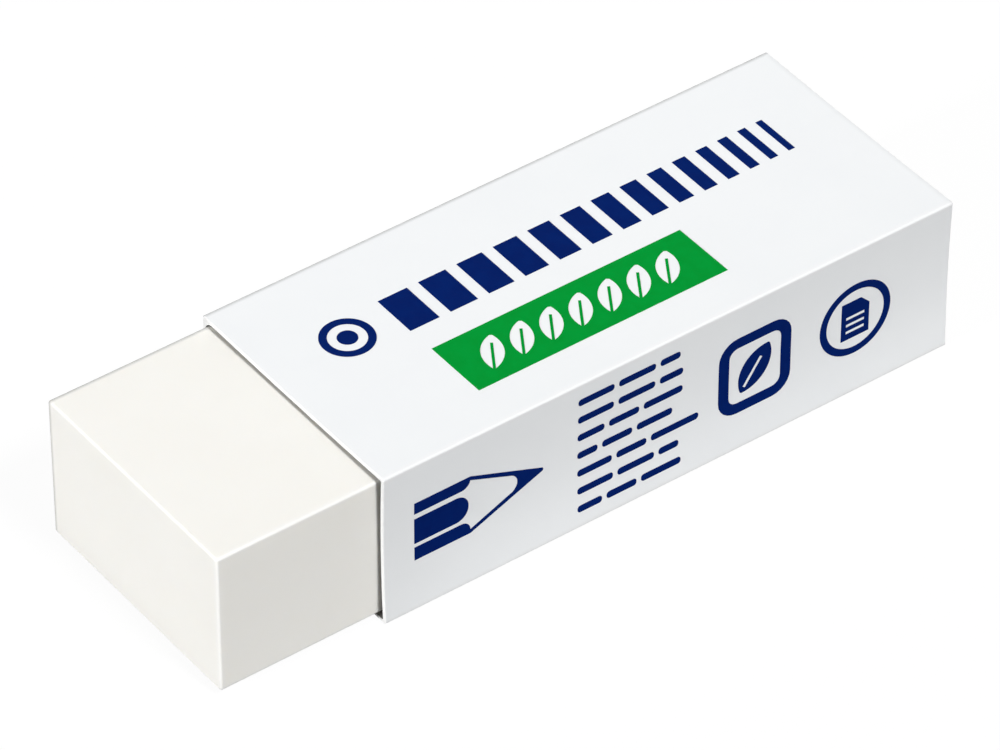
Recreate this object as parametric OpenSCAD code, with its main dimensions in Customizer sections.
// Block eraser in a card sleeve.
//
// Two pieces: a solid rubber block with softened edges, and the sleeve that it is held by.
// The sleeve is one strip of card, scored, folded round the block and glued into a tube,
// so its section is drawn as that strip: glue flap, back, top, front, and the closing panel
// that comes round underneath and covers the flap.
//
// X runs along the block, Y across it and Z up. The origin is under the middle of the whole,
// and the block stands out of the sleeve towards -X.

/* [Block] */
// Length of the block
block_length = 65; // [40:0.5:90]
// Width of the block
block_width = 21; // [12:0.5:40]
// Height of the block
block_height = 12.5; // [8:0.5:25]
// Radius of the block's softened edges
block_edge_radius = 0.25; // [0.1:0.05:2]

/* [Sleeve] */
// Length of the sleeve, from mouth to mouth
sleeve_length = 51.3; // [20:0.1:100]
// Thickness of the card
card_thickness = 0.3; // [0.2:0.05:0.8]
// Radius inside each fold of the card
fold_inner_radius = 0.05; // [0.05:0.05:0.15]
// Width of the glue flap, from its free edge to the outside of the back panel
flap_width = 9; // [4:0.5:12]
// How far each end of the flap is cut back at its free edge
flap_taper = 2; // [0.5:0.5:6]
// How far the closing panel stops short of the outside of the back panel
seam_setback = 0.3; // [0.1:0.1:2]

/* [Fit] */
// Gap between the block and each side panel, with the block in the middle
side_gap = 0.3; // [0.15:0.05:0.6]
// Gap between the block and the top panel
top_gap = 0.4; // [0.05:0.05:0.6]
// How far the block lies off the middle, towards the back panel
block_shift = 0.15; // [0:0.05:0.15]

/* [Hidden] */
$fn = 48;

// The card turns each fold on this outer radius
fold_outer_radius = fold_inner_radius + card_thickness;
// The block lies on the glue flap, which lies on the closing panel
block_floor = 2 * card_thickness;
sleeve_width = block_width + 2 * (side_gap + card_thickness);
sleeve_height = block_floor + block_height + top_gap + card_thickness;
// Block and sleeve end together at the far mouth
far_end = max(block_length, sleeve_length) / 2;
// What a cut goes past the faces that it opens
overcut = 1;

// The straight stretches of the strip between its folds, from the flap's free edge onwards
strip = [
    flap_width - fold_outer_radius,
    sleeve_height - card_thickness - 2 * fold_outer_radius,
    sleeve_width - 2 * fold_outer_radius,
    sleeve_height - 2 * fold_outer_radius,
    sleeve_width - seam_setback - fold_outer_radius,
];

// A rectangle about the origin with round corners
module rounded_rectangle(length, width, radius) {
    square([length - 2 * radius, width], center = true);
    square([length, width - 2 * radius], center = true);
    for (x = [-1, 1], y = [-1, 1])
        translate([x * (length / 2 - radius), y * (width / 2 - radius)])
            circle(r = radius);
}

// A block about the origin whose twelve edges are round, as the overlap of its three outlines
module softened_block(length, width, height, radius) {
    intersection() {
        translate([0, 0, -height / 2])
            linear_extrude(height)
                rounded_rectangle(length, width, radius);
        rotate([90, 0, 90])
            translate([0, 0, -length / 2])
                linear_extrude(length)
                    rounded_rectangle(width, height, radius);
        rotate([90, 0, 0])
            translate([0, 0, -width / 2])
                linear_extrude(width)
                    rounded_rectangle(length, height, radius);
    }
}

// A quarter turn of the card, from heading along +X at the origin to heading along +Y
module fold() {
    translate([0, fold_outer_radius])
        difference() {
            circle(r = fold_outer_radius);
            circle(r = fold_inner_radius);
            translate([-2 * fold_outer_radius, -2 * fold_outer_radius])
                square([2 * fold_outer_radius, 4 * fold_outer_radius]);
            translate([-2 * fold_outer_radius, 0])
                square([4 * fold_outer_radius, 2 * fold_outer_radius]);
        }
}

// The card on edge: each stretch from number i onwards, with a fold to the left between two
module folded_strip(i = 0) {
    square([strip[i], card_thickness]);
    if (i < len(strip) - 1)
        translate([strip[i], 0]) {
            fold();
            translate([fold_outer_radius, fold_outer_radius])
                rotate(90)
                    folded_strip(i + 1);
        }
}

// The wedge that slants one end of the glue flap, with that end at the origin and the sleeve along +X
module flap_end_cut() {
    free_edge = sleeve_width / 2 - flap_width;
    translate([0, 0, card_thickness])
        linear_extrude(card_thickness + overcut)
            polygon([
                [-overcut, free_edge - overcut],
                [flap_taper, free_edge - overcut],
                [flap_taper, free_edge],
                [0, sleeve_width / 2 - fold_outer_radius],
                [-overcut, sleeve_width / 2 - fold_outer_radius],
            ]);
}

module eraser_block() {
    color("ivory")
        translate([far_end - block_length / 2, block_shift, block_floor + block_height / 2])
            softened_block(block_length, block_width, block_height, block_edge_radius);
}

module card_sleeve() {
    color("ghostwhite")
        translate([far_end - sleeve_length, 0, 0])
            difference() {
                rotate([90, 0, 90])
                    linear_extrude(sleeve_length)
                        translate([sleeve_width / 2 - flap_width, card_thickness])
                            folded_strip();
                flap_end_cut();
                translate([sleeve_length, 0, 0])
                    mirror([1, 0, 0])
                        flap_end_cut();
            }
}

eraser_block();
card_sleeve();
